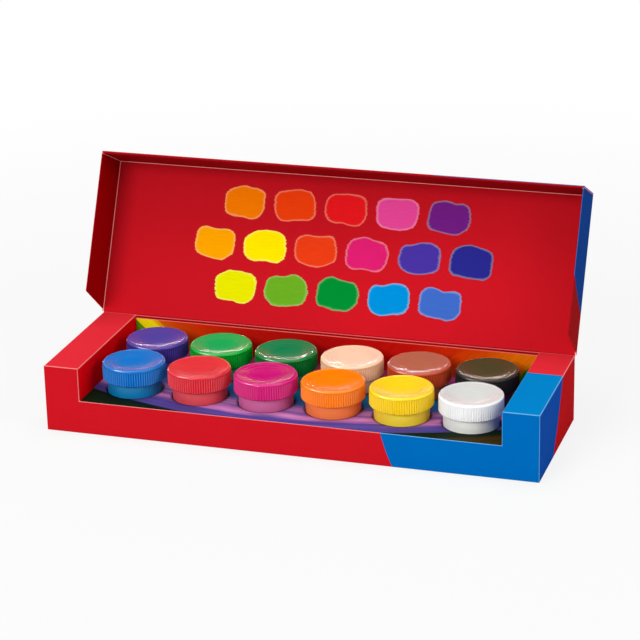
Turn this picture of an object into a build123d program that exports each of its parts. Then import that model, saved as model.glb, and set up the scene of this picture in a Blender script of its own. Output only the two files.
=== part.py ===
from build123d import *
import os
from math import cos, pi, radians, sin

os.makedirs("parts", exist_ok=True)

# Tempera paint set: a folded carton with a windowed front, an insert with twelve
# round holes, twelve screw-cap paint jars and a shallow tray lid on the back crease.
# X runs left to right, Y front to back, Z up. The origin is the centre of the
# carton's underside. The lid stands open, leaning back past the vertical.

# Carton board and play, in millimetres
board = 0.5
crease_radius = 0.4
lid_play = 0.4

# Carton base
box_width = 285.0
box_depth = 90.0
box_height = 39.0
pier_width = 20.5
sill_height = 19.4
window_corner_radius = 1.0
tab_reach = 18.0
tab_taper = 4.0
tab_play = 0.5

# Insert card
insert_play = 0.3
back_panel_top = 37.2
hole_radius = 16.0

# Jars, in six columns and two rows
column_pitch = 39.4
row_pitch = 36.8
front_colours = ["blue", "red", "magenta", "orange", "yellow", "white"]
back_colours = ["violet", "light_green", "dark_green", "peach", "brown", "black"]

# Cup
cup_radius = 15.6
cup_foot_radius = 15.2
cup_bore = 14.5
cup_height = 33.9
cup_floor = 1.8
foot_ring_radius = 13.5
foot_recess = 0.6
outer_heel_radius = 1.3
inner_heel_radius = 1.2
neck_radius = 15.2
neck_height = 5.6
mouth_chamfer = 0.3
fill_height = 32.1

# Cap, whose crest is the outer edge of its ribs
cap_height = 10.0
cap_radius = 18.0
cap_seat = 26.7
skirt_radius = 17.4
skirt_bore = 16.2
shoulder_edge = 17.9
shoulder_foot = 7.8
shoulder_radius = 2.1
rim_width = 0.5
rim_slope_sag = 0.15
dish_step_radius = 12.5
dish_step_depth = 1.1
dish_step_height = 0.2
dish_depth = 1.7
top_thickness = 1.2
rib_count = 90
rib_depth = 0.4
rib_foot = 0.3
rib_top = 7.6
cap_ceiling = 8.0
plug_radius = 14.1
plug_wall = 0.9
plug_depth = 1.4
plug_lead = 0.1

# Lid, whose panel clears the carton's ends when it is shut
lid_tilt = 25.5
lid_wall_depth = 29.5
slant_foot = 1.0
slant_start = 8.7
shut_gap = 0.3
hinge_bead = 0.3
bead_play = 0.15
glue_tab_reach = 16.0
hem_flat = 0.01

# Places that follow from the sizes above
half_width = box_width / 2
half_depth = box_depth / 2
floor_top = board
pier_inner = half_width - pier_width
deck_half_width = pier_inner - insert_play
neck_foot = cup_height - neck_height
hinge_y = half_depth - board / 2
hinge_z = box_height + shut_gap + board / 2
back_wall_top = hinge_z - hinge_bead - bead_play
lid_half_width = half_width + lid_play + board
hem_inner = hinge_y + half_depth + lid_play
lid_length = hem_inner + 3 * board


def write(builder, name):
    builder.part.label = name
    export_step(builder.part, f"parts/{name}.step")


# Planes of the lid: along is up the open panel, and depth points out of its inner side.
along = (0, sin(radians(lid_tilt)), cos(radians(lid_tilt)))


def lid_side_plane(x):
    return Plane(origin=(x, hinge_y, hinge_z), x_dir=along, z_dir=(1, 0, 0))


# Upright plane through a jar's axis, for the half section that is revolved
def jar_section(x, y, z):
    return Plane(origin=(x, y, z), x_dir=(1, 0, 0), z_dir=(0, -1, 0))


# Carton floor, between the four walls
with BuildPart() as floor_panel:
    with BuildSketch(Plane.XY):
        Rectangle(box_width - 2 * board, box_depth - 2 * board)
    extrude(amount=board)
write(floor_panel, "carton_floor")

# Front wall: full height in front of the two hollow ends, cut down to the sill between
with BuildPart() as front_wall:
    with BuildSketch(Plane.XZ.offset(half_depth)) as front_outline:
        Rectangle(box_width, box_height, align=(Align.CENTER, Align.MIN))
        with Locations((0, sill_height)):
            Rectangle(2 * pier_inner, box_height, align=(Align.CENTER, Align.MIN), mode=Mode.SUBTRACT)
        window_corners = front_outline.vertices().group_by(Axis.Y)[1]
        fillet(window_corners, radius=window_corner_radius)
    extrude(amount=-board)
    outer_edges = front_wall.edges().group_by(Axis.Y)[0]
    side_creases = outer_edges.filter_by(Axis.Z).group_by(SortBy.LENGTH)[-1]
    floor_crease = outer_edges.filter_by(Axis.X).sort_by(Axis.Z)[0:1]
    fillet(side_creases + floor_crease, radius=crease_radius)
write(front_wall, "front_wall")

# Back wall, up to the crease that carries the lid
with BuildPart() as back_wall:
    with BuildSketch(Plane.XZ.offset(-half_depth)):
        Rectangle(box_width, back_wall_top, align=(Align.CENTER, Align.MIN))
    extrude(amount=board)
    outer_edges = back_wall.edges().group_by(Axis.Y)[-1]
    side_creases = outer_edges.filter_by(Axis.Z)
    floor_crease = outer_edges.filter_by(Axis.X).sort_by(Axis.Z)[0:1]
    fillet(side_creases + floor_crease, radius=crease_radius)
write(back_wall, "back_wall")


# Hollow end: one strip that rises outside, crosses the top and drops to the floor inside
def rolled_end(side, name):
    outer = side * (half_width - board / 2)
    inner = side * (pier_inner + board / 2)
    top = box_height - board / 2
    with BuildPart() as strip:
        with BuildSketch(Plane.XZ.offset(half_depth - board)):
            with BuildLine():
                corners = [(outer, 0), (outer, top), (inner, top), (inner, floor_top)]
                FilletPolyline(*corners, radius=crease_radius)
            trace(line_width=board)
        extrude(amount=-(box_depth - 2 * board))
    write(strip, name)


rolled_end(-1, "left_end")
rolled_end(1, "right_end")

# Corner tabs of the front and back walls, folded in against the ends' outer layers
with BuildPart() as corner_tabs:
    with BuildSketch(Plane.YZ.offset(half_width - 2 * board)):
        with BuildLine():
            tab_foot = floor_top + tab_play
            tab_top = box_height - board - tab_play
            fold_line = -half_depth + board
            Polyline(
                (fold_line, tab_foot),
                (fold_line + tab_reach, tab_foot + tab_taper),
                (fold_line + tab_reach, tab_top - tab_taper),
                (fold_line, tab_top),
                close=True,
            )
        make_face()
    extrude(amount=board)
    mirror(about=Plane.XZ)
    mirror(about=Plane.YZ)
write(corner_tabs, "corner_tabs")

# Insert deck with the jar holes, its front edge rounded where it folds down
with BuildPart() as insert_deck:
    with BuildSketch(Plane.XY.offset(sill_height - board)):
        with Locations((0, -board / 2)):
            Rectangle(2 * deck_half_width, box_depth - 3 * board)
        with GridLocations(column_pitch, row_pitch, 6, 2):
            Circle(hole_radius, mode=Mode.SUBTRACT)
    extrude(amount=board)
    fold = insert_deck.faces().sort_by(Axis.Y)[0].edges().sort_by(Axis.Z)[-1]
    fillet(fold, radius=crease_radius)
write(insert_deck, "insert_deck")

# Insert's front leg, down to the floor behind the front wall
with BuildPart() as insert_front_leg:
    with BuildSketch(Plane.XZ.offset(half_depth - board)):
        with Locations((0, floor_top)):
            leg_height = sill_height - board - floor_top
            Rectangle(2 * deck_half_width, leg_height, align=(Align.CENTER, Align.MIN))
    extrude(amount=-board)
write(insert_front_leg, "insert_front_leg")

# Insert's back panel, up against the back wall to just below the crease
with BuildPart() as insert_back_panel:
    with BuildSketch(Plane.XZ.offset(-half_depth + board)):
        with Locations((0, sill_height - board)):
            panel_height = back_panel_top - sill_height + board
            Rectangle(2 * deck_half_width, panel_height, align=(Align.CENTER, Align.MIN))
    extrude(amount=board)
write(insert_back_panel, "insert_back_panel")


# Cup: tapered wall, recessed foot, rounded heels, and a thinner neck under the cap
def jar_cup(colour, x, y):
    with BuildPart() as cup:
        with BuildSketch(jar_section(x, y, floor_top)) as section:
            with BuildLine():
                Polyline(
                    (0, foot_recess),
                    (foot_ring_radius - foot_recess, foot_recess),
                    (foot_ring_radius, 0),
                    (cup_foot_radius, 0),
                    (cup_radius, neck_foot - cup_radius + neck_radius),
                    (neck_radius, neck_foot),
                    (neck_radius, cup_height),
                    (cup_bore, cup_height),
                    (cup_bore, cup_floor),
                    (0, cup_floor),
                    close=True,
                )
            make_face()
            outer_heel = section.vertices().sort_by_distance((cup_foot_radius, 0))[0]
            fillet(outer_heel, radius=outer_heel_radius)
            inner_heel = section.vertices().sort_by_distance((cup_bore, cup_floor))[0]
            fillet(inner_heel, radius=inner_heel_radius)
            mouth = section.vertices().sort_by_distance((neck_radius, cup_height))[0]
            chamfer(mouth, length=mouth_chamfer)
        revolve(axis=Axis((x, y, 0), (0, 0, 1)))
    write(cup, f"{colour}_cup")


# Paint, filling the cup to a little below its mouth
def jar_paint(colour, x, y):
    with BuildPart() as paint:
        with BuildSketch(jar_section(x, y, floor_top)) as section:
            with Locations((0, cup_floor)):
                Rectangle(cup_bore, fill_height - cup_floor, align=(Align.MIN, Align.MIN))
            heel = section.vertices().sort_by_distance((cup_bore, cup_floor))[0]
            fillet(heel, radius=inner_heel_radius)
        revolve(axis=Axis((x, y, 0), (0, 0, 1)))
    write(paint, f"{colour}_paint")


# Cap: skirt, rounded shoulder, raised rim, stepped dish and the plug ring that seals
# the mouth, with a ring of grip ribs round the skirt
def jar_cap(colour, x, y):
    inner_rim = (shoulder_edge - shoulder_radius - rim_width, cap_height)
    step_top = (dish_step_radius, cap_height - dish_step_depth)
    step_foot = (dish_step_radius - dish_step_height, cap_height - dish_step_depth - dish_step_height)
    dish_centre = (0, cap_height - dish_depth)
    underside = cap_height - dish_depth - top_thickness
    plug_foot = cap_ceiling - plug_depth
    with BuildPart() as cap:
        with BuildSketch(jar_section(x, y, cap_seat)) as section:
            with BuildLine():
                Polyline(
                    (skirt_bore, 0),
                    (skirt_radius, 0),
                    (skirt_radius, shoulder_foot),
                    (shoulder_edge, shoulder_foot),
                    (shoulder_edge, cap_height),
                    inner_rim,
                )
                SagittaArc(inner_rim, step_top, -rim_slope_sag)
                Line(step_top, step_foot)
                TangentArc(dish_centre, step_foot, tangent=(1, 0))
                Polyline(
                    dish_centre,
                    (0, underside),
                    (plug_radius - 2 * plug_wall, underside),
                    (plug_radius - plug_wall, plug_foot),
                    (plug_radius - plug_lead, plug_foot),
                    (plug_radius, cap_ceiling),
                    (skirt_bore, cap_ceiling),
                    (skirt_bore, 0),
                )
            make_face()
            shoulder = section.vertices().sort_by_distance((shoulder_edge, cap_height))[0]
            fillet(shoulder, radius=shoulder_radius)
        revolve(axis=Axis((x, y, 0), (0, 0, 1)))
        with BuildSketch(Plane(origin=(x, y, cap_seat + rib_foot))):
            with BuildLine():
                radii = [cap_radius, cap_radius - rib_depth] * rib_count
                angles = [pi * k / rib_count for k in range(2 * rib_count)]
                Polyline(*[(r * cos(a), r * sin(a)) for r, a in zip(radii, angles)], close=True)
            make_face()
            Circle((skirt_bore + skirt_radius) / 2, mode=Mode.SUBTRACT)
        extrude(amount=rib_top - rib_foot)
    write(cap, f"{colour}_cap")


for row, colours in enumerate([front_colours, back_colours]):
    for column, colour in enumerate(colours):
        jar_x = (column - 2.5) * column_pitch
        jar_y = (row - 0.5) * row_pitch
        jar_cup(colour, jar_x, jar_y)
        jar_paint(colour, jar_x, jar_y)
        jar_cap(colour, jar_x, jar_y)

# Lid panel, with the crease bead along the back wall's top
with BuildPart() as lid_panel:
    with BuildSketch(lid_side_plane(-lid_half_width)):
        Rectangle(lid_length, board, align=(Align.MIN, Align.CENTER))
        Circle(hinge_bead)
    extrude(amount=2 * lid_half_width)
write(lid_panel, "lid_panel")

# Lid front wall: a strip turned over at its free edge, its inner layer between the side walls
with BuildPart() as lid_front_wall:
    outer_layer = lid_length - board / 2
    inner_layer = hem_inner + board / 2
    hem = lid_wall_depth - board / 2
    with BuildSketch(lid_side_plane(-lid_half_width)):
        with BuildLine():
            FilletPolyline(
                (outer_layer, board / 2),
                (outer_layer, hem),
                (inner_layer, hem),
                (inner_layer, board / 2),
                radius=board - hem_flat,
            )
        trace(line_width=board)
    extrude(amount=2 * lid_half_width)
    for x in (-lid_half_width, lid_half_width - board):
        with BuildSketch(lid_side_plane(x)):
            with Locations((hem_inner, 0)):
                Rectangle(2 * board, 2 * lid_wall_depth, align=(Align.MIN, Align.MIN))
        extrude(amount=board, mode=Mode.SUBTRACT)
write(lid_front_wall, "lid_front_wall")


# Lid side wall, cut off at a slant beside the crease so that it clears the base
def lid_side_wall(x, name):
    with BuildPart() as wall:
        with BuildSketch(lid_side_plane(x)):
            with BuildLine():
                Polyline(
                    (slant_foot, board / 2),
                    (hem_inner + board, board / 2),
                    (hem_inner + board, lid_wall_depth),
                    (slant_start, lid_wall_depth),
                    close=True,
                )
            make_face()
        extrude(amount=board)
    write(wall, name)


lid_side_wall(-lid_half_width, "lid_left_wall")
lid_side_wall(lid_half_width - board, "lid_right_wall")

# Glue tabs of the side walls, held between the two layers of the front wall
with BuildPart() as lid_glue_tabs:
    tab_plane = Plane(origin=(0, hinge_y, hinge_z), x_dir=(1, 0, 0), z_dir=along)
    with BuildSketch(tab_plane.offset(hem_inner + board)):
        with BuildLine():
            tab_edge = -lid_wall_depth + 2 * board
            Polyline(
                (-lid_half_width, -board / 2),
                (-lid_half_width, tab_edge),
                (-lid_half_width + glue_tab_reach, tab_edge + tab_taper),
                (-lid_half_width + glue_tab_reach, -board / 2 - tab_taper),
                close=True,
            )
        make_face()
    extrude(amount=board)
    mirror(about=Plane.YZ)
write(lid_glue_tabs, "lid_glue_tabs")
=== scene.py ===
import math

import bmesh
import bpy
from mathutils import Matrix, Vector, noise


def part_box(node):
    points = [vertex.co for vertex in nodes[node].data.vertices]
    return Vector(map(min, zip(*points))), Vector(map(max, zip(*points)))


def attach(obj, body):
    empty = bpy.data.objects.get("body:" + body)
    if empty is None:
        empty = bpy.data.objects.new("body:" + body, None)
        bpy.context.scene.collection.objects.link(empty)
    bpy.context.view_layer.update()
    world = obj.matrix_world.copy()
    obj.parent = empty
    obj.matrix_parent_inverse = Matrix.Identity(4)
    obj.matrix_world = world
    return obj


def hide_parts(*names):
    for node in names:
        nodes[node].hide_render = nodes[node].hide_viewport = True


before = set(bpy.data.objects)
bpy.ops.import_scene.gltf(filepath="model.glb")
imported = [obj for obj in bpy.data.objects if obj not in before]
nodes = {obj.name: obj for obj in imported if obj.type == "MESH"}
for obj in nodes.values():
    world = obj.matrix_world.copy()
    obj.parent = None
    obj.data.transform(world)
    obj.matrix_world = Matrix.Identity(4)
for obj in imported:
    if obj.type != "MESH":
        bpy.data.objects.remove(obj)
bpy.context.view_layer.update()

mm = 0.001
xFace, yFace, zFace = (1.0, 0.0, 0.0), (0.0, 1.0, 0.0), (0.0, 0.0, 1.0)
white = (1.0, 1.0, 1.0, 1.0)


def middleOf(node):
    # in millimetres
    low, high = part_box(node)
    return (low + high) / 2 / mm


def meshOf(shape, name):
    mesh = bpy.data.meshes.new(name)
    shape.to_mesh(mesh)
    shape.free()
    return mesh


def added(name, data):
    # a new object in the scene, at the origin
    piece = bpy.data.objects.new(name, data)
    bpy.context.scene.collection.objects.link(piece)
    return piece


# Colour and shader sums

def ink(red, green, blue):
    # a printed or moulded colour, given as it looks on a screen
    def linear(level):
        level = level / 255
        return level / 12.92 if level <= 0.04045 else ((level + 0.055) / 1.055) ** 2.4
    return tuple(linear(level) for level in (red, green, blue)) + (1.0,)


class Wire:
    # one socket of a node; sums on it add Math nodes
    def __init__(self, wiring, socket):
        self.wiring = wiring
        self.socket = socket

    def math(self, operation, *others):
        return self.wiring.node("ShaderNodeMath", {"operation": operation}, (self,) + others)

    def __add__(self, other):
        return self.math("ADD", other)

    def __sub__(self, other):
        return self.math("SUBTRACT", other)

    def __mul__(self, other):
        return self.math("MULTIPLY", other)

    def __truediv__(self, other):
        return self.math("DIVIDE", other)

    def __rsub__(self, other):
        return self.wiring.node("ShaderNodeMath", {"operation": "SUBTRACT"}, (other, self))

    def __rtruediv__(self, other):
        return self.wiring.node("ShaderNodeMath", {"operation": "DIVIDE"}, (other, self))

    def __gt__(self, other):
        return self.math("GREATER_THAN", other)

    def __lt__(self, other):
        return self.math("LESS_THAN", other)

    __radd__ = __add__
    __rmul__ = __mul__

    def size(self):
        return self.math("ABSOLUTE")

    def least(self, other):
        return self.math("MINIMUM", other)

    def most(self, other):
        return self.math("MAXIMUM", other)

    def wrap(self, step):
        return self.math("FLOORED_MODULO", step)

    def fade(self, start, end):
        # 0 at start, 1 at end, eased between
        settings = {"interpolation_type": "SMOOTHSTEP"}
        return self.wiring.node("ShaderNodeMapRange", settings, (self, start, end))

    def ramp(self, stops, blend="LINEAR"):
        return self.wiring.node("ShaderNodeValToRGB", {"stops": stops, "blend": blend}, (self,))


class Wiring:
    # the nodes of a material or of the world
    def __init__(self, owner, outputKind):
        owner.use_nodes = True
        self.tree = owner.node_tree
        self.tree.nodes.clear()
        self.output = self.tree.nodes.new(outputKind)

    def feed(self, socket, value):
        if isinstance(value, Wire):
            self.tree.links.new(value.socket, socket)
        else:
            socket.default_value = value

    def node(self, kind, settings=None, inputs=(), out=0):
        made = self.tree.nodes.new(kind)
        for key, value in (settings or {}).items():
            if key == "stops":
                ramp = made.color_ramp
                while len(ramp.elements) < len(value):
                    ramp.elements.new(1.0)
                for element, (place, colour) in zip(ramp.elements, value):
                    element.position = place
                    element.color = colour
            elif key == "blend":
                made.color_ramp.interpolation = value
            else:
                setattr(made, key, value)
        pairs = inputs.items() if isinstance(inputs, dict) else enumerate(inputs)
        for key, value in pairs:
            self.feed(made.inputs[key], value)
        return Wire(self, made.outputs[out])

    def seenDirectly(self):
        # 1 for the rays that meet the white background: the camera's, and those of gloss and glass
        rays = self.node("ShaderNodeLightPath").socket.node.outputs
        seen = Wire(self, rays["Is Camera Ray"])
        for kind in ("Is Glossy Ray", "Is Transmission Ray"):
            seen = seen.most(Wire(self, rays[kind]))
        return seen


class Finish(Wiring):
    # a material with one main shader
    def __init__(self, name, roughness=0.4, **constants):
        self.material = bpy.data.materials.new(name)
        super().__init__(self.material, "ShaderNodeOutputMaterial")
        self.shader = self.tree.nodes.new("ShaderNodeBsdfPrincipled")
        self.tree.links.new(self.shader.outputs[0], self.output.inputs[0])
        self.shader.inputs["Roughness"].default_value = roughness
        for socket, value in constants.items():
            self.shader.inputs[socket.replace("_", " ")].default_value = value

    def set(self, socket, value):
        self.feed(self.shader.inputs[socket], value)

    def bump(self, height):
        # height in millimetres
        self.set("Normal", self.node("ShaderNodeBump", None, {"Distance": mm, "Height": height}))

    def place(self):
        # Object coordinates, in millimetres
        spot = self.node("ShaderNodeTexCoord", out="Object")
        return self.scaled(spot, (1 / mm,) * 3)

    def facing(self, direction):
        # how far the surface faces a direction of the piece, from -1 to 1
        normal = self.node("ShaderNodeTexCoord", out="Normal")
        return self.dot(normal, direction)

    def scaled(self, vector, factors):
        return self.node("ShaderNodeVectorMath", {"operation": "MULTIPLY"}, (vector, factors))

    def moved(self, vector, shift):
        return self.node("ShaderNodeVectorMath", {"operation": "ADD"}, (vector, shift))

    def dot(self, vector, direction):
        return self.node("ShaderNodeVectorMath", {"operation": "DOT_PRODUCT"}, (vector, direction), out=1)

    def axes(self, vector):
        split = self.node("ShaderNodeSeparateXYZ", None, (vector,))
        return [Wire(self, socket) for socket in split.socket.node.outputs]

    def joined(self, x, y, z=0.0):
        return self.node("ShaderNodeCombineXYZ", None, (x, y, z))

    def grain(self, vector, scale, detail=2.0, roughness=0.5, out=0):
        inputs = {"Vector": vector, "Scale": scale, "Detail": detail, "Roughness": roughness}
        return self.node("ShaderNodeTexNoise", None, inputs, out=out)

    def mix(self, factor, low, high, blend="MIX"):
        settings = {"data_type": "RGBA", "blend_type": blend}
        return self.node("ShaderNodeMix", settings, {0: factor, 6: low, 7: high}, out=2)

    def shaded(self, colour, level):
        # a colour made darker or lighter by a value around 1
        return self.mix(1.0, colour, self.joined(level, level, level), "MULTIPLY")


# Printed board of the carton and lid, in millimetres

board = {
    # red and blue: the front's ink, then a lighter copy for the tops as painted light and a deeper copy for
    # the sides as painted shade
    "red": [ink(200, 22, 34), ink(209, 41, 52), ink(190, 3, 12)],
    "blue": [ink(0, 104, 182), ink(0, 121, 186), ink(0, 73, 167)],
    "softEdge": 0.12,                # half width of the border between the inks
    "core": ink(246, 150, 146),      # cut or cracked edge, where the pulp shows
    "coreOnBlue": ink(120, 186, 232),
    "scored": ink(255, 112, 112),    # the hinge's score line, pale partly where the red ink is stretched and partly as a painted highlight on the fold
    "scoreHeight": 38.65,
    "roughness": 0.6,
    "specular": 0.004,
    "thickness": 0.5,
    "halfLength": 142.5,
    "halfDepth": 45.0,
    "height": 39.0,
    "pierInner": 122.0,
    "sill": 19.4,
    "frontFieldFoot": 60.9,          # where the blue field starts along the front's bottom edge
    "endFieldTop": 13.2,             # how far back it reaches on top of the right end
}
lid = {
    "tilt": math.radians(25.5),
    "hingeY": 44.75,
    "hingeZ": 39.55,
    "halfLength": 143.4,
    "reach": 90.15,                  # from the crease to the inside of the front wall
    "fieldCentre": (150.0, 130.0),   # of the round blue field on the lid's outside
    "fieldRadius": 106.6,
    "sideFieldFoot": 22.4,           # where the field starts on the right wall, up from the crease
    "frontFieldFoot": 50.5,          # and along the front wall
    "crease": ink(255, 176, 170),    # the creases inside the lid, cracked through
    "creaseStrength": 1.4,
}
alongLid = (0.0, math.sin(lid["tilt"]), math.cos(lid["tilt"]))
intoLid = (0.0, -math.cos(lid["tilt"]), math.sin(lid["tilt"]))


def lidAxes(finish, place):
    # along is up the open panel from the crease, depth is out of its inner side
    fromHinge = finish.moved(place, (0.0, -lid["hingeY"], -lid["hingeZ"]))
    return finish.dot(fromHinge, alongLid), finish.dot(fromHinge, intoLid)


def boardFinish(name):
    finish = Finish(name, board["roughness"], Specular_IOR_Level=board["specular"])
    place = finish.place()
    return finish, place, finish.grain(place, 1.7, 4.0, 0.6)


def inkedWithPaintedLight(finish, place, blue, fibre, shade=None):
    # the flat red and blue inks, with painted light a little lighter on top and painted shade deeper on the
    # sides
    upward = finish.facing(zFace).fade(0.93, 0.98)
    sideward = finish.facing(xFace).size().fade(0.6, 0.9)
    tones = []
    for front, top, side in (board["red"], board["blue"]):
        tones.append(finish.mix(sideward, finish.mix(upward, front, top), side))
    level = 0.93 + 0.06 * finish.grain(place, 0.035, 2.0) + 0.03 * fibre
    return finish.shaded(finish.mix(blue, *tones), level * shade if shade else level)


def worn(finish, place, fibre, printed, pulp, bare):
    # the pulp shows through the print where bare is 1, at cut edges and cracked folds
    core = finish.shaded(pulp, 0.8 + 0.35 * fibre)
    cracked = bare * (0.5 + 0.75 * finish.grain(place, 0.9, 3.0)).least(1.0)
    finish.set("Base Color", finish.mix(cracked * 0.85, printed, core))
    finish.set("Roughness", board["roughness"] - 0.06 + 0.1 * fibre + 0.2 * cracked)
    finish.bump(finish.grain(place, 0.018, 1.0) * 0.6 + fibre * 0.012)
    return finish.material


def printedBoard(name, blueField, mainSide, lines, shade=None, pulp=board["core"]):
    # blueField and lines give masks from the finish and the place; mainSide is the panels' facing
    finish, place, fibre = boardFinish(name)
    blue = blueField(finish, place)
    printed = inkedWithPaintedLight(finish, place, blue, fibre, shade(finish) if shade else None)
    turned = 1 - mainSide(finish).size().fade(0.72, 0.97)
    bare = turned.most(lines(finish, place))
    return worn(finish, place, fibre, printed, finish.mix(blue, pulp, board["coreOnBlue"]), bare)


def lineAt(value, at, half):
    # a soft line where value passes a number
    return 1 - (value - at).size().fade(half * 0.4, half)


def past(value):
    # 1 where value is above 0, with the soft edge of a printed field
    return value.fade(-board["softEdge"], board["softEdge"])


def nothing(finish, place):
    return finish.dot(place, (0.0, 0.0, 0.0))


def frontField(finish, place):
    x, _, z = finish.axes(place)
    edge = board["frontFieldFoot"] - z * 0.34 - z * (board["sill"] - z) * 0.006
    return past(x - edge)


def endField(finish, place):
    # right end: across the top, then curving forward down the outer side
    x, y, z = finish.axes(place)
    drop = board["height"] - z
    edge = board["endFieldTop"] - drop * 0.42 - drop * drop * 0.0045
    return past(edge - y) * (x > 0.0)


def lidField(finish, place):
    # the round field on the outside of the lid's panel
    across = finish.axes(place)[0] - lid["fieldCentre"][0]
    up = lidAxes(finish, place)[0] - lid["fieldCentre"][1]
    fromCentre = (across * across + up * up).math("SQRT")
    return past(lid["fieldRadius"] - fromCentre)


def lidSideField(finish, place):
    along, depth = lidAxes(finish, place)
    edge = lid["sideFieldFoot"] + depth * 0.5 + depth * depth * 0.005
    return past(along - edge) * (finish.axes(place)[0] > lid["halfLength"] - 0.45)


def lidFrontField(finish, place):
    # on the outside of the turned-over wall, its end and its fold, but not inside the lid
    along, depth = lidAxes(finish, place)
    outside = (along > lid["reach"] + 1.1).most(finish.facing(xFace) > 0.5).most(depth < 0.2)
    return past(finish.axes(place)[0] - (lid["frontFieldFoot"] + depth * 0.24)) * outside


def sideways(direction):
    return lambda finish: finish.facing(direction)


def lidWalls(direction):
    # the lid's outer folds are cracked a little, and its free edges are printed
    def sides(finish):
        depth = lidAxes(finish, finish.place())[1]
        return finish.facing(direction).size().most(depth.fade(0.5, 1.0)).most(0.86)
    return sides


def uprightOrFlat(finish):
    # the rolled ends: walls and top are both main sides
    return finish.facing(xFace).size().most(finish.facing(zFace).size())


def backSides(finish):
    # the wall's top edge carries on into the lid, so it isn't a cut edge
    top = finish.axes(finish.place())[2].fade(board["height"] - 0.1, board["height"])
    return finish.facing(yFace).size().most(top)


def frontLines(finish, place):
    x, _, z = finish.axes(place)
    top = lineAt(z, board["height"], 0.35)
    window = lineAt(x.size(), board["pierInner"], 0.3) * (z > board["sill"] - 0.3)
    sill = lineAt(z, board["sill"], 0.25) * (x.size() < board["pierInner"] + 0.3)
    return top.most(window).most(sill)


def endLines(finish, place):
    x, y, z = finish.axes(place)
    wallEnds = lineAt(y.size(), board["halfDepth"] - board["thickness"], 0.3)
    top = lineAt(z, board["height"], 0.9)
    inner = lineAt(x.size(), board["pierInner"], 0.15) * top
    outer = lineAt(x.size(), board["halfLength"], 0.45) * top
    return wallEnds.most(inner).most(outer) * 1.2


def scoreLine(finish, place):
    # along the inner face, just under the hinge
    return lineAt(finish.axes(place)[2], board["scoreHeight"], 0.38) * (finish.facing(yFace) < -0.5) * 1.25


def lidLines(finish, place):
    along, depth = lidAxes(finish, place)
    sides = lineAt(finish.axes(place)[0].size(), lid["halfLength"] - 0.55, 0.45)
    front = lineAt(along, lid["reach"], 0.45)
    return sides.most(front) * (depth > -0.2) * lid["creaseStrength"]


def lidWallLines(finish, place):
    away = finish.axes(place)[0].size()
    along, depth = lidAxes(finish, place)
    corner = lineAt(along, lid["reach"], 0.35) * lineAt(away, lid["halfLength"] - 0.5, 0.35)
    foot = lineAt(depth, 0.25, 0.4) * (away < lid["halfLength"] - 0.2) * (along < lid["reach"] + 0.6)
    return foot.most(corner) * lid["creaseStrength"]


def slitShade(finish):
    # painted shade, darker behind the insert's standing panel
    low = finish.axes(finish.place())[2].fade(board["scoreHeight"] - 0.2, board["scoreHeight"] - 0.4)
    return 1 - 0.5 * low * (finish.facing(yFace) < -0.5)


def wallShade(amount, away):
    # painted shade: the lid's walls are made darker than its panel, up to their free edges
    def shade(finish):
        edge = finish.facing(intoLid).fade(0.2, 0.5)
        return 1 - amount * away(finish).most(edge)
    return shade


def pierShade(finish):
    # painted light: the left pier's inner wall is made a fuller, lighter red, as if more light reached it
    return 1 + 0.6 * (finish.facing(xFace) > 0.5) * (finish.axes(finish.place())[0] < 0.0)


# The picture inside the lid: three rows of rounded dabs of paint

dabs = {
    "pitch": 31.0,
    "halfWidth": 12.6,
    "halfHeight": 9.2,
    "wobble": (4.0, 5.0),            # of the outline, sideways and upwards
    "bristled": 3.0,                 # how far the brush's bristles fray the ends
    "rim": ink(255, 250, 210),
    "rimStrength": 0.16,
    "rows": [
        {"along": 71.5, "count": 5, "colours": [
            (240, 120, 0), (232, 62, 12), (226, 24, 30), (226, 70, 150), (110, 30, 130)]},
        {"along": 46.5, "count": 6, "colours": [
            (246, 160, 0), (250, 226, 0), (228, 60, 20), (216, 30, 110), (70, 50, 160), (40, 40, 140)]},
        {"along": 21.5, "count": 5, "colours": [
            (226, 224, 0), (104, 168, 34), (0, 138, 50), (0, 140, 214), (60, 104, 196)]},
    ],
}


def paintDabs(finish, place, printed):
    x = finish.axes(place)[0]
    along = lidAxes(finish, place)[0]
    wobble = finish.axes(finish.grain(finish.joined(x, along), 0.07, 2.0, out=1))
    bristles = finish.grain(finish.joined(x * 0.1, along * 1.4), 1.0, 3.0, 0.6)
    bentX = x + (wobble[0] - 0.5) * dabs["wobble"][0] + (bristles - 0.5) * dabs["bristled"]
    bentUp = along + (wobble[1] - 0.5) * dabs["wobble"][1] + (x * 0.31).math("SINE") * 0.5
    for row in dabs["rows"]:
        start = -row["count"] / 2 * dabs["pitch"]
        column = (x - start) / dabs["pitch"]
        fromMiddle = (bentX - start).wrap(dabs["pitch"]) - dabs["pitch"] / 2
        wide = (fromMiddle / dabs["halfWidth"]).size()
        high = ((bentUp - row["along"]) / dabs["halfHeight"]).size()
        roundness = (wide.math("POWER", 3.4) + high.math("POWER", 3.0)).math("POWER", 0.3)
        inRow = (column > 0.0) * (column < float(row["count"]))
        inside = roundness.fade(1.02, 0.98) * inRow
        stops = [(i / row["count"], ink(*colour)) for i, colour in enumerate(row["colours"])]
        colour = (column / row["count"]).ramp(stops, "CONSTANT")
        colour = finish.shaded(colour, 0.86 + 0.24 * bristles)
        colour = finish.mix(roundness.fade(0.88, 0.98) * dabs["rimStrength"], colour, dabs["rim"])
        printed = finish.mix(inside, printed, colour)
    return printed


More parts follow.
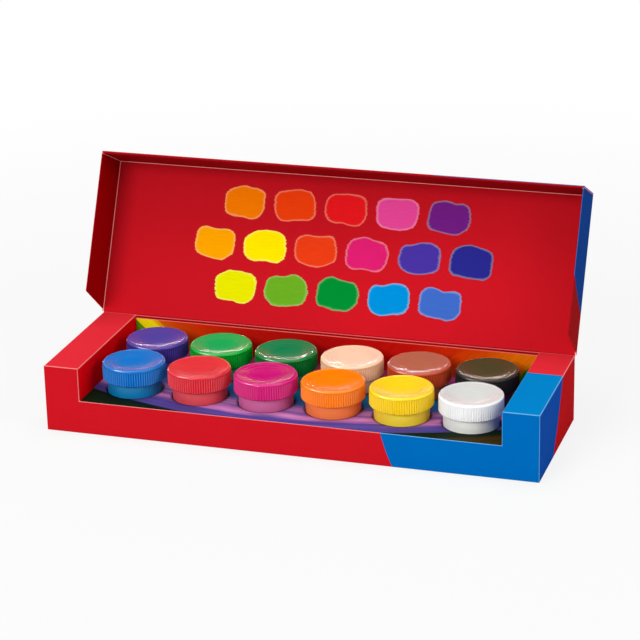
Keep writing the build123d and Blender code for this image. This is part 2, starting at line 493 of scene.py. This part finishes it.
def lidPanelBoard():
    finish, place, fibre = boardFinish("lidPanelPrint")
    inner = finish.facing(intoLid).fade(0.3, 0.6)
    blue = lidField(finish, place) * (1 - inner)
    along = lidAxes(finish, place)[0]
    # painted shade: the lid's inner face is made darker further up the panel and towards its left
    paintedShade = (along - finish.axes(place)[0] * 0.3).fade(0.0, 90.0)
    printed = inkedWithPaintedLight(finish, place, blue, fibre, 1.0 - 0.12 * paintedShade * inner)
    printed = finish.mix(inner, printed, paintDabs(finish, place, printed))
    turned = 0.3 * (1 - finish.facing(intoLid).size().fade(0.72, 0.97)) * along.fade(0.3, 0.6)
    bare = turned.most(lidLines(finish, place))
    return worn(finish, place, fibre, printed, finish.mix(blue, lid["crease"], board["coreOnBlue"]), bare)


def paint(node, material):
    nodes[node].data.materials.clear()
    nodes[node].data.materials.append(material)


frontShade = wallShade(0.42, lambda finish: finish.facing(alongLid).fade(-0.2, -0.6))
sideShade = wallShade(0.36, lambda finish: finish.facing(xFace).size().fade(0.4, 0.8))
endPrint = printedBoard("endPrint", endField, uprightOrFlat, endLines, pierShade)
lidFrontPrint = printedBoard("lidFrontPrint", lidFrontField, lidWalls(alongLid), lidWallLines, frontShade,
                             lid["crease"])
lidSidePrint = printedBoard("lidSidePrint", lidSideField, lidWalls(xFace), lidWallLines, sideShade,
                            lid["crease"])
paint("front_wall", printedBoard("frontPrint", frontField, sideways(yFace), frontLines))
paint("back_wall", printedBoard("backPrint", nothing, backSides, scoreLine, slitShade, board["scored"]))
paint("carton_floor", printedBoard("floorPrint", nothing, sideways(zFace), nothing))
paint("left_end", endPrint)
paint("right_end", endPrint)
paint("corner_tabs", printedBoard("tabPrint", nothing, sideways(xFace), nothing))
paint("lid_panel", lidPanelBoard())
paint("lid_front_wall", lidFrontPrint)
paint("lid_left_wall", lidSidePrint)
paint("lid_right_wall", lidSidePrint)
paint("lid_glue_tabs", printedBoard("glueTabPrint", nothing, sideways(alongLid), nothing))
print("carton and lid printed")


# Outer skin of the fold between the back wall and the lid, which bridges the score

fold = {
    "halfLength": 142.6,
    "foot": 38.2,
    "lip": 39.165,
    "top": 39.1,
    "skin": 0.03,
    "lipDepth": 0.09,
}


def foldSkin():
    back, top = board["halfDepth"], fold["top"]
    outer, inner = back + fold["skin"], back - fold["lipDepth"]
    section = [(back, fold["foot"]), (outer, fold["foot"] + 0.1), (outer, top - 0.02), (back, fold["lip"]),
               (inner, fold["lip"]), (inner, top), (back, top)]
    strip = bmesh.new()
    corners = [strip.verts.new((-fold["halfLength"], y, z)) for y, z in section]
    end = strip.faces.new(corners)
    swept = bmesh.ops.extrude_face_region(strip, geom=[end], use_keep_orig=True)["geom"]
    far = [item for item in swept if isinstance(item, bmesh.types.BMVert)]
    bmesh.ops.translate(strip, vec=(2 * fold["halfLength"], 0, 0), verts=far)
    bmesh.ops.recalc_face_normals(strip, faces=strip.faces)
    bmesh.ops.scale(strip, vec=(mm, mm, mm), verts=strip.verts)
    skin = added("foldSkin", meshOf(strip, "foldSkin"))
    skin.data.materials.append(nodes["back_wall"].data.materials[0])
    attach(skin, "carton")


foldSkin()
print("hinge fold made")


# Insert card, printed all over with broad brushed streaks

insert = {
    "card": ink(214, 208, 198),
    "edge": ink(252, 116, 104),      # of the standing panel, where the print wraps over
    "panelTop": 37.2,
    "panelHalf": 121.0,              # half the standing panel's length
    "roughness": 0.55,
    "specular": 0.04,
    "holeRadius": 16.0,
    "holeShade": 1.5,                # width of the painted contact shadow round a hole
    "holesEnd": 117.0,
    "bow": -0.0018,                  # how much the deck's streaks curve
    "streaksFrom": -50.0,            # the deck's front edge, and how deep its streaks run from there
    "streaksDepth": 96.0,
    "corner": ink(8, 26, 10),        # dark front corners, green at the left and brown at the right
    "cornerBrown": ink(60, 42, 2),
}
# the deck's streaks from front to back; the first stops are darker, partly the print's own purple and partly
# painted shade from the front wall
deckStops = [
    (0.00, ink(66, 58, 120)), (0.05, ink(76, 62, 140)), (0.10, ink(92, 72, 150)),
    (0.16, ink(208, 128, 184)), (0.21, ink(120, 82, 156)), (0.27, ink(184, 122, 180)),
    (0.33, ink(78, 86, 150)), (0.40, ink(24, 84, 140)), (0.50, ink(10, 98, 136)), (0.60, ink(36, 60, 120)),
    (0.70, ink(96, 60, 150)), (0.80, ink(160, 60, 110)), (1.00, ink(120, 20, 40)),
]
panelStops = [
    (0.00, ink(70, 150, 20)), (0.022, ink(104, 166, 16)), (0.026, ink(240, 224, 8)),
    (0.066, ink(250, 232, 14)), (0.078, ink(240, 170, 10)), (0.088, ink(222, 96, 6)),
    (0.13, ink(214, 66, 2)), (0.20, ink(214, 42, 2)), (0.30, ink(196, 20, 8)), (0.50, ink(184, 10, 10)),
    (0.68, ink(204, 18, 10)), (0.78, ink(216, 46, 4)), (0.86, ink(230, 80, 2)), (0.93, ink(246, 120, 4)),
    (0.984, ink(250, 124, 6)), (0.989, ink(70, 160, 10)), (1.00, ink(40, 150, 14)),
]


def fromHoles(finish, x, y):
    # distance from the middle of the nearest jar hole, in two straight rows
    first, beside, behind = [middleOf(f"{colour}_cup") for colour in ("blue", "red", "violet")]
    step = beside.x - first.x
    across = (x - first.x + step / 2).wrap(step) - step / 2
    away = y.size() - (behind.y - first.y) / 2
    return (across * across + away * away).math("SQRT")


def panelInks(finish, place):
    # the standing panel: yellow, orange and red strokes that lean outwards at both ends
    x, _, z = finish.axes(place)
    lean = x - x.math("SIGN") * (z - 30.0) * 1.1
    strokes = finish.grain(finish.joined(lean * 0.5, (z + x * 0.5) * 0.05), 1.0, 4.0, 0.65)
    across = (lean + insert["panelHalf"]) / (2 * insert["panelHalf"])
    colour = (across + (strokes - 0.5) * 0.06).ramp(panelStops)
    below = z.fade(insert["panelTop"] - 0.2, insert["panelTop"] - 0.4)
    front = finish.facing((0.0, -1.0, 0.0)).fade(0.3, 0.7) * below
    return finish.shaded(colour, 0.78 + 0.45 * strokes), strokes, front


def deckInks(finish, place):
    # the deck: violet, pink and blue streaks that bow forward, darker at the front corners
    x, y, _ = finish.axes(place)
    bowed = y + (x + 3.0) * (x + 3.0) * insert["bow"]
    strokes = finish.grain(finish.joined(x * 0.014, bowed * 0.3), 1.0, 4.0, 0.6)
    slow = finish.grain(finish.joined(x * 0.02, y * 0.03), 1.0, 2.0)
    back = (bowed - insert["streaksFrom"]) / insert["streaksDepth"]
    colour = (back + (strokes - 0.5) * 0.2 + (slow - 0.5) * 0.12).ramp(deckStops)
    brown = (bowed + strokes * 3.0).fade(-55.0, -58.5) * x.fade(30.0, 60.0)
    corner = finish.shaded(finish.mix(brown, insert["corner"], insert["cornerBrown"]), strokes * 1.9)
    colour = finish.mix((bowed + (slow - 0.5) * 3.0).fade(-49.4, -50.4), colour, corner)
    # painted shadow: a dark ring round each hole, where a cup stands in it
    holeShadow = fromHoles(finish, x, y).fade(insert["holeRadius"] + insert["holeShade"], insert["holeRadius"])
    colour = finish.shaded(colour, 1 - 0.75 * holeShadow * (x.size() < insert["holesEnd"]))
    front = finish.facing((0.0, -0.5, 1.0)).fade(0.3, 0.7)
    return finish.shaded(colour, 0.66 + 0.45 * strokes), strokes, front


def insertCard(name, inks, wrapped=False):
    # bare card on the underside and the cut edges; a wrapped panel's top edge is printed
    finish = Finish(name, insert["roughness"], Specular_IOR_Level=insert["specular"])
    place = finish.place()
    fibre = finish.grain(place, 2.0, 4.0, 0.6)
    colour, strokes, front = inks(finish, place)
    z = finish.axes(place)[2]
    edge = z.fade(insert["panelTop"] - 0.5, insert["panelTop"] - 0.4) if wrapped else 0.0
    card = finish.shaded(finish.mix(edge, insert["card"], insert["edge"]), 0.85 + 0.25 * fibre)
    finish.set("Base Color", finish.mix(front, card, colour))
    finish.set("Roughness", insert["roughness"] - 0.05 + 0.1 * fibre)
    finish.bump(fibre * 0.012 + strokes * 0.02)
    return finish.material


paint("insert_deck", insertCard("deckPrint", deckInks))
paint("insert_front_leg", insertCard("legPrint", deckInks))
paint("insert_back_panel", insertCard("panelPrint", panelInks, wrapped=True))
print("insert printed")


# Jars: a cup, its paint and a ribbed screw cap, each in millimetres above its own foot

jar = {
    "floor": 0.5,                    # the carton's floor, on which a cup stands
    "bore": 14.5,
    "neck": 15.2,
    "fill": 32.1,
    "paintGap": 0.06,                # between the paint and the cup's wall
    "ripple": 0.28,                  # unevenness of the paint's surface
    "steps": 120,
    "milk": ink(214, 212, 206),      # the cup where it is empty
}
threads = {
    "turns": 1.2,
    "rise": 2.6,                     # in one turn
    "height": 0.42,
    "sunk": 0.1,                     # how deep a ridge stands in its wall
    "halfFoot": 0.75,
    "halfCrest": 0.2,
    "stepsPerTurn": 72,
    "capStart": 2.2,
    "cupStart": 29.9,
}
cap = {
    "seat": 26.7,
    "radius": 17.95,
    "bore": 16.2,
    "grooveDepth": 0.6,
    "ribs": 80,
    "stepsPerRib": 4,
    "ribFoot": 0.3,
    "ribTop": 8.75,
    "ribEase": 0.4,                  # over which the grooves run out at the top
    "gripFrom": 17.0,                # only what lies outside this radius is grooved
    "shoulderFoot": 8.5,
    "shoulderRadius": 1.5,
    "height": 10.0,
    "rim": 15.9,
    "dishDepth": 1.7,
    "ringFrom": 8.6,                 # faint rings left by the mould, from here out to the rim
    "ringPitch": 2.5,
    "ringHeight": 0.045,
    "crestHighlight": 0.25,               # how much paler the painted highlight on the ribs' crests is
}
# the dish colour, on a cap's upward faces, is set apart from the skirt's as painted light; the black's olive
# dish is a painted reflection
colours = {
    "blue": {
        "skirt": (0, 117, 210), "dish": (0, 110, 190), "cup": (0, 124, 180), "paint": (0, 96, 190),
        "ribs": 0.5, "ribShade": 0.24},
    "red": {
        "skirt": (232, 38, 54), "dish": (208, 50, 56), "cup": (222, 74, 82), "paint": (206, 20, 32),
        "ribs": 0.6, "ribShade": 0.24},
    "magenta": {
        "skirt": (214, 34, 124), "dish": (188, 8, 110), "cup": (200, 100, 152), "paint": (196, 16, 108)},
    "orange": {
        "skirt": (255, 134, 30), "dish": (242, 120, 4), "cup": (250, 126, 62), "paint": (240, 98, 8)},
    "yellow": {
        "skirt": (253, 214, 28), "dish": (240, 199, 20), "cup": (250, 214, 52), "paint": (248, 200, 10)},
    "white": {
        "skirt": (253, 252, 251), "dish": (196, 200, 196), "cup": (244, 240, 234), "paint": (240, 240, 236),
        "ribs": 0.0, "ribShade": 0.0, "glow": 1.0, "glowDepth": 2.0},
    "violet": {
        "skirt": (68, 50, 142), "dish": (70, 64, 152), "cup": (116, 98, 182), "paint": (58, 34, 132)},
    "light_green": {
        "skirt": (0, 168, 46), "dish": (0, 162, 84), "cup": (56, 182, 112), "paint": (0, 148, 48)},
    "dark_green": {
        "skirt": (0, 119, 44), "dish": (0, 122, 75), "cup": (44, 146, 100), "paint": (0, 92, 44)},
    "peach": {
        "skirt": (254, 206, 166), "dish": (236, 198, 168), "cup": (250, 206, 178), "paint": (242, 184, 146)},
    "brown": {
        "skirt": (192, 70, 34), "dish": (168, 96, 72), "cup": (176, 104, 84), "paint": (124, 54, 30)},
    "black": {
        "skirt": (34, 34, 36), "dish": (66, 64, 38), "cup": (78, 76, 78), "paint": (16, 16, 18),
        "coat": 0.55},
}
plain = {"ribs": 0.1, "ribShade": 0.08, "glow": 0.0, "glowDepth": 1.2, "coat": 1.0}


def arc(centre, radius, start, end, count):
    # points of a round corner, angles in degrees from straight out
    turns = [math.radians(start + (end - start) * i / count) for i in range(count + 1)]
    return [(centre[0] + radius * math.cos(a), centre[1] + radius * math.sin(a)) for a in turns]


def spun(points, steps):
    # turns a half section round the jar's axis
    shell = bmesh.new()
    corners = [shell.verts.new((r, 0.0, z)) for r, z in points]
    pairs = [pair for pair in zip(corners, corners[1:]) if pair[0].co.x or pair[1].co.x]
    sides = [shell.edges.new(pair) for pair in pairs]
    bmesh.ops.spin(shell, geom=corners + sides, cent=(0, 0, 0), axis=zFace, angle=math.tau,
                   steps=steps, use_merge=True)
    bmesh.ops.remove_doubles(shell, verts=shell.verts, dist=0.0005)
    bmesh.ops.recalc_face_normals(shell, faces=shell.faces)
    return shell


def thread(radius, low, side):
    # a shallow screw thread with closed ends; side is 1 on the cup's neck and -1 in the cap
    ridge = bmesh.new()
    crest = radius + side * threads["height"]
    foot = radius - side * threads["sunk"]
    section = [(foot, -threads["halfFoot"]), (crest, -threads["halfCrest"]), (crest, threads["halfCrest"]),
               (foot, threads["halfFoot"])]
    corners = [ridge.verts.new((r, 0.0, low + z)) for r, z in section]
    sides = [ridge.edges.new(pair) for pair in zip(corners, corners[1:] + corners[:1])]
    steps = int(threads["stepsPerTurn"] * threads["turns"])
    rise = threads["rise"] * threads["turns"] / steps
    bmesh.ops.spin(ridge, geom=corners + sides, cent=(0, 0, 0), axis=zFace,
                   angle=math.tau * threads["turns"], steps=steps, dvec=(0, 0, rise))
    bmesh.ops.holes_fill(ridge, edges=ridge.edges, sides=4)
    bmesh.ops.recalc_face_normals(ridge, faces=ridge.faces)
    return ridge


def moulded(name, shells, sharp=38):
    # gathers shells into one smooth mesh round the jar's axis; edges over sharp degrees stay crisp
    whole = bmesh.new()
    for shell in shells:
        part = meshOf(shell, "part")
        whole.from_mesh(part)
        bpy.data.meshes.remove(part)
    for face in whole.faces:
        face.smooth = True
    for edge in whole.edges:
        edge.smooth = edge.calc_face_angle(0.0) < math.radians(sharp)
    return meshOf(whole, name)


def placed(name, mould, middle, turn):
    # a copy of a moulded mesh, turned and set at its place
    mesh = mould.copy()
    mesh.name = name
    mesh.transform(Matrix.Scale(mm, 4) @ Matrix.Translation(middle) @ Matrix.Rotation(turn, 4, "Z"))
    return added(name, mesh)


def dishProfile():
    # from the rim in to the axis: fine steps through the mould rings, then coarse ones
    rim, floor = cap["rim"], cap["height"] - 0.08
    points = []
    for out in [rim - 0.25 - i * 0.42 for i in range(18)] + [float(i) for i in range(8, -1, -1)]:
        wave = math.cos(math.tau * (rim - out) / cap["ringPitch"]) - 1
        wave = wave * cap["ringHeight"] if out > cap["ringFrom"] else 0.0
        points.append((out, floor - (cap["dishDepth"] - 0.2) * (1 - (out / rim) ** 2) + wave))
    return points


def capShell():
    r, top, bore, rim = cap["radius"], cap["height"], cap["bore"], cap["rim"]
    foot = [(16.55, 0.0), (17.3, 0.0), (17.5, 0.18), (17.5, 0.3), (r, 0.5)]
    skirt = [(r, z) for z in (2.2, 4.0, 5.8, 7.6, 8.2)]
    shoulder = arc((r - cap["shoulderRadius"], cap["shoulderFoot"]), cap["shoulderRadius"], 0, 90, 9)
    crown = [(rim + 0.1, top), (rim - 0.1, top - 0.02)] + dishProfile()
    sealRing = [(0.0, 7.1), (12.3, 7.1), (13.2, 6.75), (14.0, 6.75), (14.1, 8.0), (15.6, 8.0)]
    inside = sealRing + [(bore, 7.4), (bore, 0.35), (16.55, 0.0)]
    shell = spun(foot + skirt + shoulder + crown + inside, cap["ribs"] * cap["stepsPerRib"])
    for vert in shell.verts:
        x, y, z = vert.co
        radius = math.hypot(x, y)
        if radius < cap["gripFrom"] or not cap["ribFoot"] <= z <= cap["ribTop"]:
            continue
        groove = 0.5 - 0.5 * math.cos(cap["ribs"] * math.atan2(y, x))
        ends = min(1.0, (cap["ribTop"] - z) / cap["ribEase"])
        cut = cap["grooveDepth"] * groove * ends
        vert.co.x -= x / radius * cut
        vert.co.y -= y / radius * cut
    return shell


def cupShell():
    neck, bore = jar["neck"], jar["bore"]
    heel = [(0.0, 0.6), (12.9, 0.6), (13.25, 0.12), (13.5, 0.0)] + arc((13.9, 1.3), 1.3, -90, 0, 6)
    wall = [(15.4, 14.0), (15.6, 27.8), (15.55, 28.0), (15.25, 28.25), (neck, 28.6), (neck, 33.4)]
    mouth = arc((14.95, 33.6), 0.25, 0, 90, 3) + arc((14.75, 33.65), 0.25, 90, 180, 3)
    inside = [(bore, 31.0), (bore, 17.0), (bore, 3.0)] + arc((13.3, 3.0), 1.2, 0, -90, 4) + [(0.0, 1.8)]
    return spun(heel + wall + mouth + inside, jar["steps"])


def paintShell(seed):
    r, top = jar["bore"] - jar["paintGap"], jar["fill"]
    foot = [(0.0, 1.86), (13.2, 1.86), (14.0, 2.2), (r, 3.05), (r, 16.0), (r, top - 0.1)]
    edge = [(r - 0.15, top - 0.28), (r - 0.6, top - 0.45), (r - 1.5, top - 0.55)]
    surface = [(s, top - 0.6) for s in (11.5, 10, 8.5, 7, 5.5, 4, 2.5, 1.2, 0)]
    shell = spun(foot + edge + surface, jar["steps"])
    for vert in shell.verts:
        radius = vert.co.xy.length
        if vert.co.z > top - 1 and radius < r - 1.0:
            spot = Vector((vert.co.x * 0.16, vert.co.y * 0.16, seed * 7.3))
            ease = min(1.0, (r - 1.0 - radius) / 4)
            vert.co.z += jar["ripple"] * ease * noise.noise(spot)
    return shell


def capFinish(name, inks, middle, seed):
    # polished all round, duller in the middle of the dish
    finish = Finish(name, 0.1, Specular_IOR_Level=0.02, Coat_Roughness=0.1, Coat_IOR=1.31,
                    Subsurface_Weight=inks["glow"], Subsurface_Scale=inks["glowDepth"] * mm,
                    Subsurface_Radius=(1.0, 1.0, 1.0))
    whole = finish.place()
    x, y, z = finish.axes(finish.moved(whole, (-middle.x, -middle.y, 0.0)))
    fromAxis = (x * x + y * y).math("SQRT")
    # painted highlight on the ribs' crests and painted shade in their grooves
    ridge = fromAxis.fade(cap["radius"] - 0.35, cap["radius"] - 0.02)
    ridge = ridge * (z - cap["seat"]).fade(cap["ribTop"], cap["ribTop"] - cap["ribEase"])
    skirt = finish.shaded(ink(*inks["skirt"]), 1.02 - inks["ribShade"] + inks["ribShade"] * ridge)
    crest = ink(*(level + (255 - level) * cap["crestHighlight"] for level in inks["skirt"]))
    skirt = finish.mix(ridge * inks["ribs"], skirt, crest)
    # painted light: faces turned up take the dish colour instead of the skirt's
    colour = finish.mix(finish.facing(zFace).fade(0.75, 0.95), skirt, ink(*inks["dish"]))
    place = finish.moved(whole, (seed * 31.0, seed * 17.0, 0.0))
    cloud = finish.grain(place, 0.12, 2.0)
    fine = finish.grain(place, 3.0, 3.0)
    scuffs = finish.grain(finish.scaled(place, (0.5, 3.0, 2.0)), 0.9, 4.0, 0.7)
    finish.set("Base Color", finish.shaded(colour, 0.95 + 0.07 * cloud + 0.03 * fine))
    coat = fromAxis.fade(6.0, 13.5) * inks["coat"]
    finish.set("Coat Weight", coat * (1 - 0.4 * scuffs.fade(0.55, 0.8)))
    finish.set("Roughness", 0.07 + 0.06 * cloud)
    finish.bump(fine * 0.005 + cloud * 0.04)
    return finish.material


def cupFinish(name, colour, seed):
    # thin milky plastic that takes the colour of the paint behind it
    finish = Finish(name, 0.32, Specular_IOR_Level=0.4, Subsurface_Weight=0.3, Subsurface_Scale=2 * mm)
    whole = finish.place()
    place = finish.moved(whole, (seed * 13.0, seed * 29.0, 0.0))
    z = finish.axes(whole)[2]
    cloud = finish.grain(place, 0.1, 2.0)
    fine = finish.grain(place, 2.4, 3.0)
    filled = z.fade(1.2, 3.2) * z.fade(33.4, 32.0)
    milky = finish.mix(filled, jar["milk"], ink(*colour))
    finish.set("Base Color", finish.shaded(milky, 0.93 + 0.09 * cloud + 0.04 * fine))
    finish.set("Roughness", 0.28 + 0.12 * cloud)
    finish.bump(fine * 0.008)
    return finish.material


def paintFinish(name, colour, seed):
    finish = Finish(name, 0.22, Specular_IOR_Level=0.5)
    place = finish.moved(finish.place(), (seed * 23.0, seed * 5.0, 0.0))
    swirl = finish.grain(finish.scaled(place, (0.25, 0.6, 0.2)), 0.7, 3.0)
    fine = finish.grain(place, 1.4, 3.0)
    finish.set("Base Color", finish.shaded(ink(*colour), 0.88 + 0.16 * swirl + 0.04 * fine))
    finish.set("Roughness", 0.16 + 0.2 * swirl)
    finish.bump(swirl * 0.25 + fine * 0.02)
    return finish.material


def standFor(piece, node, body, material):
    piece.data.materials.append(material)
    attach(piece, body)
    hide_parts(node)


capGroup = bpy.data.collections.new("caps")
capMould = moulded("capMould", [capShell(), thread(cap["bore"], threads["capStart"], -1)])
cupMould = moulded("cupMould", [cupShell(), thread(jar["neck"], threads["cupStart"], 1)])
for seed, (colour, given) in enumerate(colours.items()):
    inks = {**plain, **given}
    middle = middleOf(f"{colour}_cup")
    turn = (seed * 137.5) % 360 * math.pi / 180
    atCup = (middle.x, middle.y, jar["floor"])
    atCap = (middle.x, middle.y, cap["seat"])
    cup = placed(f"{colour}_jarCup", cupMould, atCup, turn)
    milky = cupFinish(f"{colour}CupPlastic", inks["cup"], seed)
    standFor(cup, f"{colour}_cup", f"{colour}_jar", milky)
    paintMould = moulded("paintMould", [paintShell(seed)])
    fill = placed(f"{colour}_jarPaint", paintMould, atCup, turn)
    tempera = paintFinish(f"{colour}Tempera", inks["paint"], seed)
    standFor(fill, f"{colour}_paint", f"{colour}_jar", tempera)
    screwCap = placed(f"{colour}_jarCap", capMould, atCap, turn)
    capGroup.objects.link(screwCap)
    plastic = capFinish(f"{colour}CapPlastic", inks, middle, seed)
    standFor(screwCap, f"{colour}_cap", f"{colour}_lid", plastic)
print("twelve jars made")


# Stage, lights and camera, in metres

stage = {
    "floorSize": 8.0,
    "floorDrop": 0.0002,
    "floorTone": ink(208, 208, 208),
    "lift": 0.82,                    # how white the floor is near the set; it is all white further out
    "whiteFrom": 0.25,
    "whiteTo": 0.75,
    "worldLevel": 0.38,
}


def paleFloor():
    flat = bmesh.new()
    bmesh.ops.create_grid(flat, x_segments=2, y_segments=2, size=stage["floorSize"])
    bmesh.ops.translate(flat, vec=(0, 0, -stage["floorDrop"]), verts=flat.verts)
    finish = Finish("studioFloor", 0.7, Specular_IOR_Level=0.1)
    finish.set("Base Color", stage["floorTone"])
    place = finish.node("ShaderNodeTexCoord", out="Object")
    away = finish.node("ShaderNodeVectorMath", {"operation": "LENGTH"}, (place,), out=1)
    lift = stage["lift"] + (1 - stage["lift"]) * away.fade(stage["whiteFrom"], stage["whiteTo"])
    glow = finish.node("ShaderNodeEmission", None, {"Color": white, "Strength": 1.0})
    lit = Wire(finish, finish.shader.outputs[0])
    blend = finish.node("ShaderNodeMixShader", None, (finish.seenDirectly() * lift, lit, glow))
    finish.feed(finish.output.inputs[0], blend)
    floor = added("studioFloor", meshOf(flat, "studioFloor"))
    floor.data.materials.append(finish.material)
    return floor


floor = paleFloor()
stageGroup = bpy.data.collections.new("stage")
stageGroup.objects.link(floor)

world = bpy.data.worlds.new("studio")
bpy.context.scene.world = world
sky = Wiring(world, "ShaderNodeOutputWorld")
soft = sky.node("ShaderNodeBackground", None, {"Color": white, "Strength": stage["worldLevel"]})
shown = sky.node("ShaderNodeBackground", None, {"Color": white, "Strength": 1.0})
sky.feed(sky.output.inputs[0], sky.node("ShaderNodeMixShader", None, (sky.seenDirectly(), soft, shown)))

lamps = {
    "keyLight": {"spot": (-0.45, -1.3, 0.85), "aim": (0.0, 0.0, 0.06), "size": (0.7, 0.55), "power": 13.2},
    "topLight": {"spot": (-0.05, 0.1, 1.5), "aim": (0.0, 0.0, 0.05), "size": (1.2, 1.0), "power": 13.5},
    "fillLight": {"spot": (1.2, -0.5, 0.8), "aim": (0.0, 0.0, 0.05), "size": (0.8, 0.8), "power": 5.6},
    # only the caps' gloss picks up these two: a window at the left, and a white card low behind the set
    "glintLight": {"spot": (-0.9, -0.45, 1.1), "aim": (0.0, 0.0, 0.04), "size": (0.8, 0.5), "power": 45},
    "rearCard": {"spot": (0.0, 0.32, 0.062), "aim": (0.0, 0.0, 0.037), "size": (1.3, 0.014), "power": 7},
}


def softbox(name, spot, aim, size, power):
    lamp = bpy.data.lights.new(name, "AREA")
    lamp.shape = "RECTANGLE"
    lamp.size, lamp.size_y = size
    lamp.energy = power
    holder = added(name, lamp)
    holder.location = spot
    holder.rotation_euler = (Vector(aim) - Vector(spot)).to_track_quat("-Z", "Y").to_euler()
    return holder


lights = {name: softbox(name, **lamp) for name, lamp in lamps.items()}
for name in ("glintLight", "rearCard"):
    lights[name].visible_diffuse = False
    lights[name].light_linking.receiver_collection = capGroup
lights["rearCard"].visible_camera = False
lights["rearCard"].light_linking.blocker_collection = stageGroup

view = {
    "target": (0.007, 0.0, 0.064),
    "azimuth": math.radians(17.9),
    "elevation": math.radians(20.72),
    "roll": math.radians(-1.27),
    "distance": 1.353,
    "lens": 136.5,
    "sensor": 36.0,
}
back = Vector((math.sin(view["azimuth"]) * math.cos(view["elevation"]),
               -math.cos(view["azimuth"]) * math.cos(view["elevation"]),
               math.sin(view["elevation"])))
level = Vector(zFace).cross(back).normalized()
upright = back.cross(level)
right = level * math.cos(view["roll"]) + upright * math.sin(view["roll"])
up = back.cross(right)
lens = bpy.data.cameras.new("camera")
lens.lens = view["lens"]
lens.sensor_width = view["sensor"]
camera = added("camera", lens)
turned = Matrix((right, up, back)).transposed().to_4x4()
camera.matrix_world = Matrix.Translation(Vector(view["target"]) + back * view["distance"]) @ turned
bpy.context.scene.camera = camera
bpy.context.scene.view_settings.view_transform = "Standard"
print("stage, lights and camera set")
